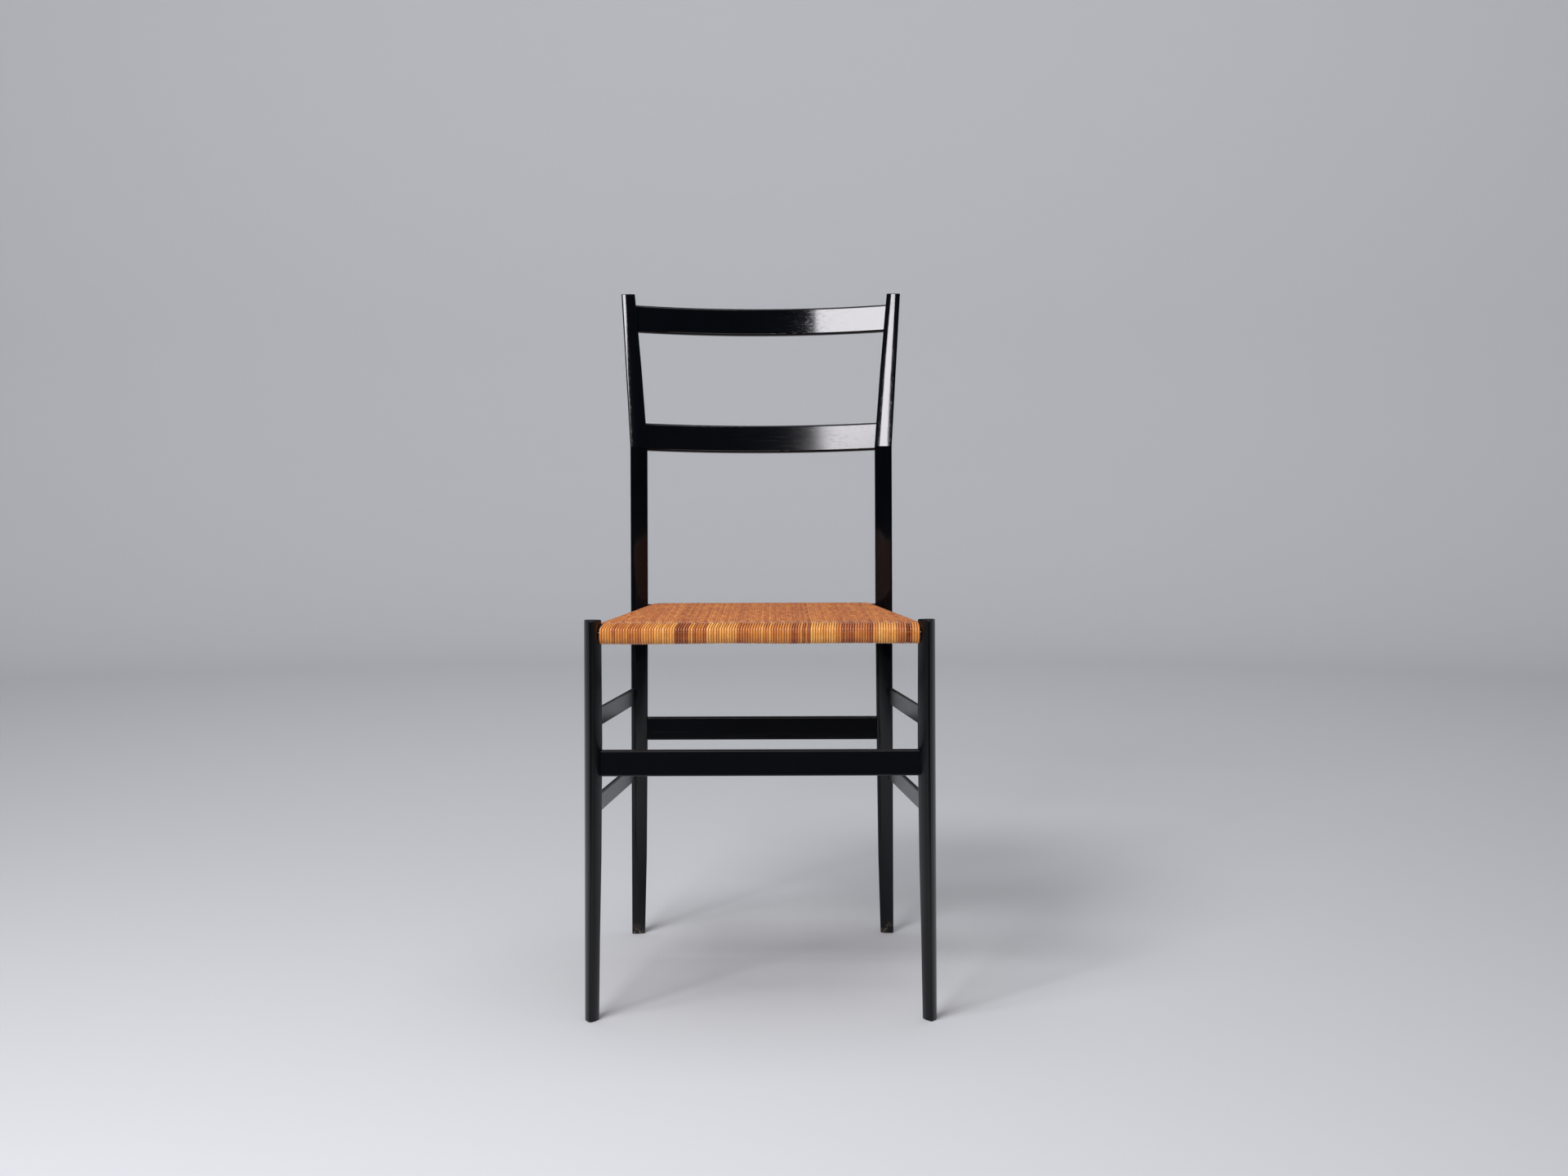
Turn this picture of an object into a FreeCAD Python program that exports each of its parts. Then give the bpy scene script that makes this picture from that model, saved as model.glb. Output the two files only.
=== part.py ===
import FreeCAD, Part
import math
import os

# A light side chair: an ash frame of sixteen pieces with a woven cane seat.
# Millimetres, +Z up. The chair faces -Y and is the same left and right of X = 0.
# Depths are measured back from the front edge of the front legs, and the
# finished pieces are moved so that the origin lies on the floor under the middle.

V = FreeCAD.Vector

# Front legs: three-sided, point to the front, slimmer towards the foot
front_leg_height = 460.0
front_leg_width = 20.5
front_leg_depth = 20.0
front_leg_turn = 6.0
foot_half_spread = 201.4
top_half_spread = 197.7
leg_width_shares = ((0.0, 0.80), (0.21, 0.86), (0.41, 0.945), (0.70, 1.0), (1.0, 0.96))

# Rear posts: leg and back in one piece, flat side to the front, bent once
post_height = 830.0
post_bend_height = 637.0
post_width = 22.0
post_depth = 20.5
post_turn = 10.0
post_foot_depth = 406.0
post_bend_depth = 384.0
post_top_depth = 431.0
post_foot_half_spread = 170.7
post_bend_half_spread = 166.0
post_top_half_spread = 178.4
post_lower_shares = ((0.0, 0.775), (0.16, 0.89), (0.39, 0.955), (0.69, 1.0), (1.0, 1.0))
post_upper_shares = ((0.0, 1.0), (0.5, 0.925), (1.0, 0.79))

# Shape of both three-sided sections
corner_radius = 2.2
side_swell = 1.1
end_chamfer = 0.8

# Stretchers between the front legs and between the rear posts
cross_height = 30.0
cross_thickness = 7.5
cross_edge = 2.0
front_stretcher_level = 296.7
front_stretcher_inset = 12.6
rear_stretcher_level = 272.2
rear_stretcher_inset = 3.5

# Two stretchers on each side, which fall towards the rear
side_height = 20.5
side_thickness = 6.2
side_edge = 1.8
side_front_inset = 9.3
upper_side_level = 345.8
lower_side_level = 246.8
side_fall = 30.8

# Back slats: bent to one radius and leaning back with the posts
slat_height = 35.3
slat_thickness = 7.0
slat_edge = 2.6
slat_rear_edge = 1.0
slat_radius = 600.0
slat_inset = 4.0
top_slat_drop = 30.3
slat_spacing = 149.7

# Seat frame: oval rails, in the plane of the seat, which falls towards the rear
seat_drop = 3.2
seat_fall = 3.12
rail_inset = 8.5
rail_height = 20.8
rail_depth = 15.6
rear_rail_overlap = 2.0
side_rail_height = 17.0
side_rail_width = 12.4
side_rail_front_inset = 12.1
side_rail_rear_inset = 28.6
side_rail_front_drop = 3.0
side_rail_rear_drop = 0.6
oval_tip_share = 0.82

# Woven cane, wound round the rails
cane_thickness = 1.4
cane_clearance = 0.15
front_wrap_inset = 17.3
rear_wrap_inset = 31.7
crown_width = 30.0

# Tenons and their mortises
tenon_length = 10.0
tenon_shoulder = 2.0
side_tenon_thickness = 3.0
side_tenon_set_in = 1.4
post_shoulder = 1.2
glue_gap = 0.1
mortise_floor_gap = 0.6
seat_tenon_thickness = 5.0
seat_tenon_height = 7.5
side_rail_tenon = 8.0

# How far a rail runs on before its end is scribed to the slanted face it meets
scribe_reach = 14.0

# Tools may run this far past what they cut
overrun = 40.0


def between(low, high, share):
    return low + (high - low) * share


def unit(vector):
    return vector.multiply(1.0 / vector.Length)


def mirrored(shape):
    """The same on the other side of the middle."""
    return shape.mirror(V(0, 0, 0), V(1, 0, 0))


# Legs and posts

def three_sided(width, depth, turn):
    """The centres of the section's three rounded corners, front one first, about its middle."""
    angle = math.radians(turn)
    half = width / 2 - corner_radius
    deep = depth / 2 - corner_radius
    core = []
    for x, y in ((0, -deep), (half, deep), (-half, deep)):
        turned_x = x * math.cos(angle) - y * math.sin(angle)
        turned_y = x * math.sin(angle) + y * math.cos(angle)
        core.append(V(turned_x, turned_y, 0))
    return core


def section_wire(width, depth, turn, outer_x, front_y, level, inset):
    """A rounded three-sided section, set by its outermost and its foremost reach.

    The inset is how far its outline then lies inside that, where the ends' edges are broken."""
    core = three_sided(width, depth, turn)
    reach_x = max(p.x for p in core) + corner_radius
    reach_y = min(p.y for p in core) - corner_radius
    shift = V(outer_x - reach_x, front_y - reach_y, level)
    core = [p + shift for p in core]
    sides = []
    for index, start in enumerate(core):
        end = core[(index + 1) % len(core)]
        chord = end - start
        outward = unit(V(chord.y, -chord.x, 0))
        radius = (chord.Length ** 2 / 4 + side_swell ** 2) / (2 * side_swell)
        centre = (start + end) * 0.5 - outward * (radius - side_swell)
        at_start = unit(start - centre)
        at_end = unit(end - centre)
        reach = radius + corner_radius - inset
        sides.append((centre, reach, at_start, outward, at_end))
    edges = []
    for index, (centre, reach, at_start, outward, at_end) in enumerate(sides):
        first = centre + at_start * reach
        last = centre + at_end * reach
        edges.append(Part.Arc(first, centre + outward * reach, last).toShape())
        corner = core[(index + 1) % len(core)]
        next_centre, next_reach, next_start = sides[(index + 1) % len(sides)][:3]
        over = corner + unit(at_end + next_start) * (corner_radius - inset)
        edges.append(Part.Arc(last, over, next_centre + next_start * next_reach).toShape())
    return Part.Wire(edges)


def stations(shares, low, high, break_low, break_high):
    """Level, place, width and inset of each section, with the edges broken at the ends asked for."""
    rows = [(between(low, high, place), place, wide, 0) for place, wide in shares]
    if break_low:
        level, place, wide, inset = rows[0]
        rows[:1] = [(level, place, wide, end_chamfer), (level + end_chamfer, place, wide, 0)]
    if break_high:
        level, place, wide, inset = rows[-1]
        rows[-1:] = [(level - end_chamfer, place, wide, 0), (level, place, wide, end_chamfer)]
    return rows


def front_leg_form():
    wires = []
    for level, place, wide, inset in stations(leg_width_shares, 0, front_leg_height, True, True):
        wires.append(section_wire(
            front_leg_width * wide,
            front_leg_depth * wide,
            front_leg_turn,
            between(foot_half_spread, top_half_spread, place),
            0,
            level,
            inset,
        ))
    return Part.makeLoft(wires, True, True)


def post_face(level):
    """Depth of the post's front face at a level."""
    if level < post_bend_height:
        return between(post_foot_depth, post_bend_depth, level / post_bend_height)
    share = (level - post_bend_height) / (post_height - post_bend_height)
    return between(post_bend_depth, post_top_depth, share)


def post_stretch(rows, low_spread, high_spread):
    wires = []
    for level, place, wide, inset in rows:
        wires.append(section_wire(
            post_width * wide,
            post_depth * wide,
            180 - post_turn,
            between(low_spread, high_spread, place),
            post_face(level),
            level,
            inset,
        ))
    return Part.makeLoft(wires, True, True)


def rear_post_form():
    rows = stations(post_lower_shares, 0, post_bend_height, True, False)
    lower = post_stretch(rows, post_foot_half_spread, post_bend_half_spread)
    rows = stations(post_upper_shares, post_bend_height, post_height, False, True)
    upper = post_stretch(rows, post_bend_half_spread, post_top_half_spread)
    return lower.fuse(upper)


# Straight rails and stretchers

def square_to(run):
    """The level and the upright direction that are square to a run."""
    across = unit(V(run.y, -run.x, 0))
    return across, unit(across.cross(run))


def arc_edge(centre, radius, start_way, end_way):
    over = unit(start_way + end_way)
    points = [centre + way * radius for way in (start_way, over, end_way)]
    return Part.Arc(points[0], points[1], points[2]).toShape()


def bar(start, end, height, thickness, edge_radius):
    """A straight bar with rounded edges, its ends square to its run."""
    across, up = square_to(end - start)
    tall = up * (height / 2 - edge_radius)
    wide = across * (thickness / 2 - edge_radius)
    corners = (
        (start + wide + tall, up, across),
        (start + wide - tall, across, -up),
        (start - wide - tall, -up, -across),
        (start - wide + tall, -across, up),
    )
    outline = []
    for index, (centre, start_way, end_way) in enumerate(corners):
        outline.append(arc_edge(centre, edge_radius, start_way, end_way))
        following = corners[(index + 1) % len(corners)][0]
        reach = end_way * edge_radius
        outline.append(Part.LineSegment(centre + reach, following + reach).toShape())
    return Part.Face(Part.Wire(outline)).extrude(end - start)


def oval_bar(start, end, height, width, grow):
    """A straight bar of oval section, drawn with four arcs, and grown by so much all round."""
    across, up = square_to(end - start)
    tip = width / 2 * oval_tip_share
    rise = height / 2 - tip
    flank = ((width / 2) ** 2 + rise ** 2 - tip ** 2) / (width - 2 * tip)
    top = start + up * rise
    bottom = start - up * rise
    right = start - across * (flank - width / 2)
    left = start + across * (flank - width / 2)
    top_right = unit(top - right)
    top_left = unit(top - left)
    bottom_right = unit(bottom - right)
    bottom_left = unit(bottom - left)
    outline = [
        arc_edge(top, tip + grow, top_left, top_right),
        arc_edge(right, flank + grow, top_right, bottom_right),
        arc_edge(bottom, tip + grow, bottom_right, bottom_left),
        arc_edge(left, flank + grow, bottom_left, top_left),
    ]
    return Part.Face(Part.Wire(outline)).extrude(end - start)


def plain_bar(start, end, height, thickness):
    """A straight bar with sharp edges, for tenons and mortises."""
    along = end - start
    across = unit(V(along.y, -along.x, 0)) * (thickness / 2)
    up = V(0, 0, height / 2)
    wires = []
    for point in (start, end):
        corners = [
            point + across + up, point - across + up, point - across - up, point + across - up
        ]
        wires.append(Part.makePolygon(corners + corners[:1]))
    return Part.makeLoft(wires, True, True)


def stretched(start, end, extra_start, extra_end):
    """The same line, made longer at each end."""
    way = unit(end - start)
    return start - way * extra_start, end + way * extra_end


def largest(shape):
    return max(shape.Solids, key=lambda solid: solid.Volume)


def seated(body, start, end, tenon_high, tenon_thick, neighbours):
    """The body scribed to what it meets, with tenons at its ends, and the tool for their mortises."""
    tenon = plain_bar(start, end, tenon_high, tenon_thick)
    gap_start, gap_end = stretched(start, end, mortise_floor_gap, mortise_floor_gap)
    tool = plain_bar(gap_start, gap_end, tenon_high + 2 * glue_gap, tenon_thick + 2 * glue_gap)
    piece = largest(body.cut(neighbours)).fuse(tenon).removeSplitter()
    return piece, tool


def leg_width_at(level, shares, full_width, low, high):
    """Width of a leg or post at a level, straight between its sections."""
    share = (level - low) / (high - low)
    for (h0, w0), (h1, w1) in zip(shares, shares[1:]):
        if share <= h1:
            return full_width * between(w0, w1, (share - h0) / (h1 - h0))
    return full_width * shares[-1][1]


def leg_inner_x(level):
    share = level / front_leg_height
    width = leg_width_at(level, leg_width_shares, front_leg_width, 0, front_leg_height)
    return between(foot_half_spread, top_half_spread, share) - width


def leg_back_y(level):
    width = leg_width_at(level, leg_width_shares, front_leg_width, 0, front_leg_height)
    return front_leg_depth * width / front_leg_width


def post_inner_x(level):
    if level < post_bend_height:
        width = leg_width_at(level, post_lower_shares, post_width, 0, post_bend_height)
        return between(post_foot_half_spread, post_bend_half_spread, level / post_bend_height) - width
    width = leg_width_at(level, post_upper_shares, post_width, post_bend_height, post_height)
    share = (level - post_bend_height) / (post_height - post_bend_height)
    return between(post_bend_half_spread, post_top_half_spread, share) - width


def behind_front_legs(level):
    """The space behind the inner corners of both front legs, where no rail's end may show."""
    corner = V(leg_inner_x(level), leg_back_y(level) - corner_radius, 0)
    space = Part.makeBox(overrun, overrun, front_leg_height, corner)
    return [space, mirrored(space)]


def beside_post(level):
    """The space outside the post, where no stretcher's end may run past its rounded corner."""
    outer_x = between(post_foot_half_spread, post_bend_half_spread, level / post_bend_height)
    corner = V(outer_x - corner_radius, post_face(level) + post_shoulder, 0)
    return Part.makeBox(overrun, overrun, post_bend_height, corner)


def cross_stretcher(level, face_y, inner_x, neighbours):
    """A flat stretcher between two legs, its front face at face_y."""
    middle = V(0, face_y + cross_thickness / 2, level)
    reach = V(inner_x + scribe_reach, 0, 0)
    body = bar(middle - reach, middle + reach, cross_height, cross_thickness, cross_edge)
    reach = V(inner_x + tenon_length, 0, 0)
    tenon_high = cross_height - 2 * tenon_shoulder
    tenon_thick = cross_thickness - tenon_shoulder
    return seated(body, middle - reach, middle + reach, tenon_high, tenon_thick, neighbours)


def side_stretcher(front_level, neighbours):
    """A flat stretcher from the back of the front leg to the face of the rear post."""
    rear_level = front_level - side_fall
    front = V(top_half_spread - side_front_inset, leg_back_y(front_level), front_level)
    rear = V(post_bend_half_spread, post_face(rear_level), rear_level)
    start, end = stretched(front, rear, tenon_length, tenon_length)
    body = bar(start, end, side_height, side_thickness, side_edge)
    tenon_high = side_height - 2 * tenon_shoulder
    set_in = V(side_tenon_set_in, 0, 0)
    around = neighbours + [beside_post(rear_level)]
    return seated(
        body, start - set_in, end - set_in, tenon_high, side_tenon_thickness, around
    )


# Seat frame

fall_angle = math.radians(seat_fall)
rail_top = front_leg_height - seat_drop - cane_thickness


def on_seat(depth, below):
    """Level of a line across the seat, so far below the rail tops at that depth."""
    return rail_top - math.tan(fall_angle) * (depth - rail_inset) - below


front_rail_y = rail_inset + rail_depth / 2
front_rail_level = on_seat(front_rail_y, rail_height / 2)
rear_rail_y = post_face(front_rail_level) + rear_rail_overlap + rail_depth / 2
rear_rail_level = on_seat(rear_rail_y, rail_height / 2)
side_rail_front_y = leg_back_y(front_rail_level)
side_rail_rear_y = rear_rail_y - rail_depth / 2


def cross_rail(depth, level, inner_x, neighbours):
    """An oval rail between two legs, with its tenons in its upper half."""
    middle = V(0, depth, level)
    reach = V(inner_x + scribe_reach, 0, 0)
    body = oval_bar(middle - reach, middle + reach, rail_height, rail_depth, 0)
    rise = V(0, 0, rail_height / 2 - tenon_shoulder - seat_tenon_height / 2)
    reach = V(inner_x + tenon_length, 0, 0)
    start = middle - reach + rise
    end = middle + reach + rise
    return seated(body, start, end, seat_tenon_height, seat_tenon_thickness, neighbours)


def side_rail_share(depth):
    return (depth - side_rail_front_y) / (side_rail_rear_y - side_rail_front_y)


def side_rail_crest(depth):
    """The highest line of the right side rail, at one depth."""
    share = side_rail_share(depth)
    drop = between(side_rail_front_drop, side_rail_rear_drop, share)
    front_x = top_half_spread - side_rail_front_inset
    rear_x = post_bend_half_spread - side_rail_rear_inset
    return V(between(front_x, rear_x, share), depth, on_seat(depth, drop))


def side_rail(neighbours):
    """The right side rail, with low tenons that pass under those of the cross rails."""
    sink = V(0, 0, side_rail_height / 2)
    start = side_rail_crest(side_rail_front_y - side_rail_tenon) - sink
    end = side_rail_crest(side_rail_rear_y + side_rail_tenon) - sink
    body = oval_bar(start, end, side_rail_height, side_rail_width, 0)
    lower = V(0, 0, side_rail_height / 2 - tenon_shoulder - seat_tenon_height / 2)
    return seated(
        body, start - lower, end - lower, seat_tenon_height, seat_tenon_thickness, neighbours
    )


# Cane

cane_outside = cane_clearance + cane_thickness


def cane_sheet(corners):
    """A flat sheet of cane below its corners."""
    return Part.Face(Part.makePolygon(corners + corners[:1])).extrude(V(0, 0, -cane_thickness))


def cane_layer(below, beside, neighbours):
    """One layer of the seat, level across the middle and falling to both side rails.

    Its upper face lies below the rail tops, and beside is the same at the side rails' crests."""
    rows = []
    for depth in (front_rail_y, rear_rail_y):
        crest = side_rail_crest(depth)
        crown = V(crest.x - crown_width, depth, on_seat(depth, below))
        rows.append((crown, crest - V(0, 0, beside)))
    (front_crown, front_edge), (rear_crown, rear_edge) = rows
    left_crowns = [V(-point.x, point.y, point.z) for point in (rear_crown, front_crown)]
    middle = cane_sheet([front_crown, rear_crown] + left_crowns)
    outer = cane_sheet([front_crown, front_edge, rear_edge])
    inner = cane_sheet([front_crown, rear_edge, rear_crown])
    sheets = [outer, inner, mirrored(outer), mirrored(inner)]
    return largest(middle.fuse(sheets).removeSplitter().cut(neighbours))


def cane_side_turns(neighbours):
    """The cane's turns round the outer half of the right side rail."""
    sink = V(0, 0, side_rail_height / 2)
    front = side_rail_crest(front_rail_y)
    rear = side_rail_crest(rear_rail_y)
    skins = []
    for grow in (cane_outside, cane_clearance):
        skins.append(oval_bar(front - sink, rear - sink, side_rail_height, side_rail_width, grow))
    way = unit(rear - front) * overrun
    plan = []
    for point in (front - way, rear + way):
        plan.append(V(point.x, point.y, 0))
    plan += [plan[1] - V(overrun, 0, 0), plan[0] - V(overrun, 0, 0)]
    inner_half = Part.Face(Part.makePolygon(plan + plan[:1])).extrude(V(0, 0, post_height))
    return largest(skins[0].cut([skins[1], inner_half] + neighbours))


def cane_wrap(depth, level, half_width, outward, neighbours):
    """The cane's turns round the outer half of a cross rail. Outward is -1 in front, 1 behind."""
    reach = V(half_width, 0, 0)
    middle = V(0, depth, level)
    skins = []
    for grow in (cane_outside, cane_clearance):
        skins.append(oval_bar(middle - reach, middle + reach, rail_height, rail_depth, grow))
    corner = V(-half_width, depth - max(outward, 0) * overrun, level - overrun)
    inner_half = Part.makeBox(2 * half_width, overrun, 2 * overrun, corner)
    return largest(skins[0].cut([skins[1], inner_half] + neighbours))


# Slats

back_lean = math.atan(
    (post_top_depth - post_bend_depth) / (post_height - post_bend_height)
)


def slat_band(level, height, thickness, half_length, face_depth):
    """A strip bent to the slat's radius, leaning with the back, front face at face_depth."""
    up = V(0, math.sin(back_lean), math.cos(back_lean))
    back = V(0, math.cos(back_lean), -math.sin(back_lean))
    angle = math.asin(half_length / slat_radius)
    centre = V(0, face_depth, level) - back * (slat_radius * math.cos(angle))
    outward = back * math.cos(angle) + V(math.sin(angle), 0, 0)
    tall = up * (height / 2)
    front = centre + outward * slat_radius
    rear = front + outward * thickness
    corners = [front - tall, front + tall, rear + tall, rear - tall]
    section = Part.Face(Part.makePolygon(corners + corners[:1]))
    return section.revolve(centre, up, math.degrees(2 * angle))


def bend_radius(edge):
    """Radius of an edge that follows the bend, zero for any other."""
    return edge.Curve.Radius if edge.Curve.TypeId == "Part::GeomCircle" else 0


def eased(band):
    """The strip with its two front edges rounded and the rear ones only broken."""
    middle = slat_radius + slat_thickness / 2
    front = [edge for edge in band.Edges if bend_radius(edge) and bend_radius(edge) < middle]
    band = band.makeFillet(slat_edge, front)
    rear = [edge for edge in band.Edges if bend_radius(edge) > middle]
    return band.makeChamfer(slat_rear_edge, rear)


def slat(level, neighbours):
    """A bent slat and the tool for its mortises in the posts."""
    reach = post_inner_x(level) + tenon_length
    face = post_face(level) + slat_inset
    body = eased(slat_band(level, slat_height, slat_thickness, reach, face))
    tenon_high = slat_height - 2 * tenon_shoulder
    tenon_thick = slat_thickness - tenon_shoulder
    tenon_face = face + tenon_shoulder / 2 * math.cos(back_lean)
    tenon_level = level - tenon_shoulder / 2 * math.sin(back_lean)
    tenon = slat_band(tenon_level, tenon_high, tenon_thick, reach, tenon_face)
    tool = slat_band(
        tenon_level + glue_gap * math.sin(back_lean),
        tenon_high + 2 * glue_gap,
        tenon_thick + 2 * glue_gap,
        reach + mortise_floor_gap,
        tenon_face - glue_gap * math.cos(back_lean),
    )
    piece = largest(body.cut(neighbours)).fuse(tenon).removeSplitter()
    return piece, tool


# Assembly

def build():
    leg = front_leg_form()
    post = rear_post_form()
    legs = [leg, mirrored(leg)]
    posts = [post, mirrored(post)]

    front_stretcher, front_tool = cross_stretcher(
        front_stretcher_level,
        front_stretcher_inset,
        leg_inner_x(front_stretcher_level),
        legs + behind_front_legs(front_stretcher_level),
    )
    rear_stretcher, rear_tool = cross_stretcher(
        rear_stretcher_level,
        post_face(rear_stretcher_level) + rear_stretcher_inset,
        post_inner_x(rear_stretcher_level),
        posts,
    )
    upper, upper_tool = side_stretcher(upper_side_level, [leg, post])
    lower, lower_tool = side_stretcher(lower_side_level, [leg, post])

    front_rail, front_rail_tool = cross_rail(
        front_rail_y,
        front_rail_level,
        leg_inner_x(front_rail_level),
        legs + behind_front_legs(front_rail_level),
    )
    rear_rail, rear_rail_tool = cross_rail(
        rear_rail_y, rear_rail_level, post_inner_x(rear_rail_level), posts
    )
    seat_side, seat_side_tool = side_rail([leg, post, front_rail, rear_rail])

    top_slat_level = post_height - top_slat_drop
    top_slat, top_slat_tool = slat(top_slat_level, posts)
    lower_slat, lower_slat_tool = slat(top_slat_level - slat_spacing, posts)

    rails = [front_rail, rear_rail, seat_side, mirrored(seat_side)]
    deck = cane_layer(-cane_outside, -cane_outside, legs + posts + rails)
    underside = cane_layer(
        rail_height + cane_clearance, side_rail_height + cane_clearance, legs + posts + rails
    )
    side_turns = cane_side_turns([leg, post, front_rail, rear_rail])
    front_turns = cane_wrap(
        front_rail_y, front_rail_level, top_half_spread - front_wrap_inset, -1, legs
    )
    rear_turns = cane_wrap(
        rear_rail_y, rear_rail_level, post_bend_half_spread - rear_wrap_inset, 1, posts
    )

    leg = leg.cut([front_tool, upper_tool, lower_tool, front_rail_tool, seat_side_tool])
    post = post.cut([
        rear_tool, upper_tool, lower_tool, rear_rail_tool, top_slat_tool, lower_slat_tool
    ])
    rear_rail = rear_rail.cut([seat_side_tool, mirrored(seat_side_tool)])

    return {
        "front_leg_right": leg,
        "front_leg_left": mirrored(leg),
        "rear_post_right": post,
        "rear_post_left": mirrored(post),
        "stretcher_front": front_stretcher,
        "stretcher_rear": rear_stretcher,
        "stretcher_right_upper": upper,
        "stretcher_left_upper": mirrored(upper),
        "stretcher_right_lower": lower,
        "stretcher_left_lower": mirrored(lower),
        "seat_rail_front": front_rail,
        "seat_rail_rear": rear_rail,
        "seat_rail_right": seat_side,
        "seat_rail_left": mirrored(seat_side),
        "back_slat_top": top_slat,
        "back_slat_lower": lower_slat,
        "seat_cane_deck": deck,
        "seat_cane_underside": underside,
        "seat_cane_turns_left": mirrored(side_turns),
        "seat_cane_turns_right": side_turns,
        "seat_cane_turns_front": front_turns,
        "seat_cane_turns_rear": rear_turns,
    }


os.makedirs("parts", exist_ok=True)
pieces = build()
boxes = [shape.optimalBoundingBox() for shape in pieces.values()]
rearmost = max(box.YMax for box in boxes)
foremost = min(box.YMin for box in boxes)
print("overall depth", round(rearmost - foremost, 2), "mm, moved forward by", round((rearmost + foremost) / 2, 3))
for name, shape in pieces.items():
    shape.translate(V(0, -(rearmost + foremost) / 2, 0))
    shape.exportStep("parts/" + name + ".step")
    print(name, len(shape.Solids), "solid, valid", shape.isValid(), round(shape.Volume / 1000, 2), "cm3")
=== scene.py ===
import math

import bpy
from mathutils import Matrix, Vector


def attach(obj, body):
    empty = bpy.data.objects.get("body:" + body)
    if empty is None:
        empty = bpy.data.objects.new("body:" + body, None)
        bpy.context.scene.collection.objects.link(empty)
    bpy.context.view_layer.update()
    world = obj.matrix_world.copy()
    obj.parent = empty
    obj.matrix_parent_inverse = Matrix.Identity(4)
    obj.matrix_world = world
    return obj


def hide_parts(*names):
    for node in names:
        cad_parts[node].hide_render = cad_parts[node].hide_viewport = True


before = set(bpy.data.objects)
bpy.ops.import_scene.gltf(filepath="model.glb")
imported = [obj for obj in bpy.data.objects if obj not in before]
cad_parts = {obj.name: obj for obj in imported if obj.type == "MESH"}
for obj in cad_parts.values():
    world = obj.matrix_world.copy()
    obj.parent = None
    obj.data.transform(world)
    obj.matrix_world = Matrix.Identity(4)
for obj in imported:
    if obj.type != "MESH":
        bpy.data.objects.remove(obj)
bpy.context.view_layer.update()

mm = 0.001

# The seat rails as the frame has them. Depths run back from the front edge of the front legs,
# and a side rail's crest is its highest line.
leg_edge_y = -230.86 * mm
rail_top = 455.4 * mm
rail_front = 8.5 * mm
seat_slope = math.tan(math.radians(3.12))
rail_tall = 20.8 * mm
rail_deep = 15.6 * mm
front_rail_depth = 16.3 * mm
rear_rail_depth = 400.446 * mm
side_rail_tall = 17.0 * mm
side_rail_wide = 12.4 * mm
side_rail_start = 19.42 * mm
side_rail_end = 392.65 * mm
crest_front_x = 185.6 * mm
crest_rear_x = 137.4 * mm
crest_front_drop = 3.0 * mm
crest_rear_drop = 0.6 * mm
crown_width = 30.0 * mm
leg_back_depth = 19.6 * mm

# The middle line of a rear post's face
post_bend = 637.0 * mm
post_bend_middle = 155.0 * mm
post_flare = 14.7 / 193.0
post_splay = 7.2 / 637.0

# The cane
strand_pitch = 2.93 * mm
strand_width = 2.78 * mm
wound_rise = 1.1 * mm
wound_seat = 0.45 * mm
woven_rise = 0.72 * mm
woven_seat = 0.38 * mm
weave_height = 0.45 * mm
front_strands = 123
deck_strands = 121
rear_strands = 91
turn_point = 17

# At the front fold the crosswise strands run under, and the lengthwise ones narrow and lean right
tucked_depth = 11.0 * mm
fold_narrowing = 0.18
fold_push = 2.4 * mm
fold_push_fall = 0.018
fold_reach = 26 * mm

# One strand near the right end has shrunk
thin_strand = 57
thin_loss = 0.55

# Strands are numbered about 0 round the front and rear rails, about 300 lengthwise in the seat,
# and from 1000 at the front for the crosswise ones
lengthwise_middle = 300.0
crosswise_first = 1000.0


# Trees of nodes, for finishes and for the cane alike

class Works:
    """A tree of nodes, with short ways to write sums and set inputs."""

    def __init__(self, tree):
        self.tree = tree

    def put(self, socket, value):
        if isinstance(value, bpy.types.NodeSocket):
            self.tree.links.new(value, socket)
        elif value is not None:
            socket.default_value = value

    def node(self, kind, inputs=None, **settings):
        made = self.tree.nodes.new(kind)
        for key, value in settings.items():
            setattr(made, key, value)
        for key, value in (inputs or {}).items():
            self.put(made.inputs[key], value)
        return made

    def sum(self, operation, *values):
        made = self.tree.nodes.new("ShaderNodeMath")
        made.operation = operation
        for socket, value in zip(made.inputs, values):
            self.put(socket, value)
        return made.outputs[0]

    def add(self, first, *others):
        for other in others:
            first = self.sum("ADD", first, other)
        return first

    def less(self, first, second):
        return self.sum("SUBTRACT", first, second)

    def times(self, first, *others):
        for other in others:
            first = self.sum("MULTIPLY", first, other)
        return first

    def over(self, first, second):
        return self.sum("DIVIDE", first, second)

    def eased(self, value, low, high):
        """0 below low, 1 above high and a soft step between."""
        ranged = self.node("ShaderNodeMapRange", {
            "Value": value, "From Min": low, "From Max": high, "To Min": 0.0, "To Max": 1.0,
        }, interpolation_type="SMOOTHSTEP")
        return ranged.outputs["Result"]


# Cane strands: a grid whose columns are the strands' half-round sections

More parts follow.
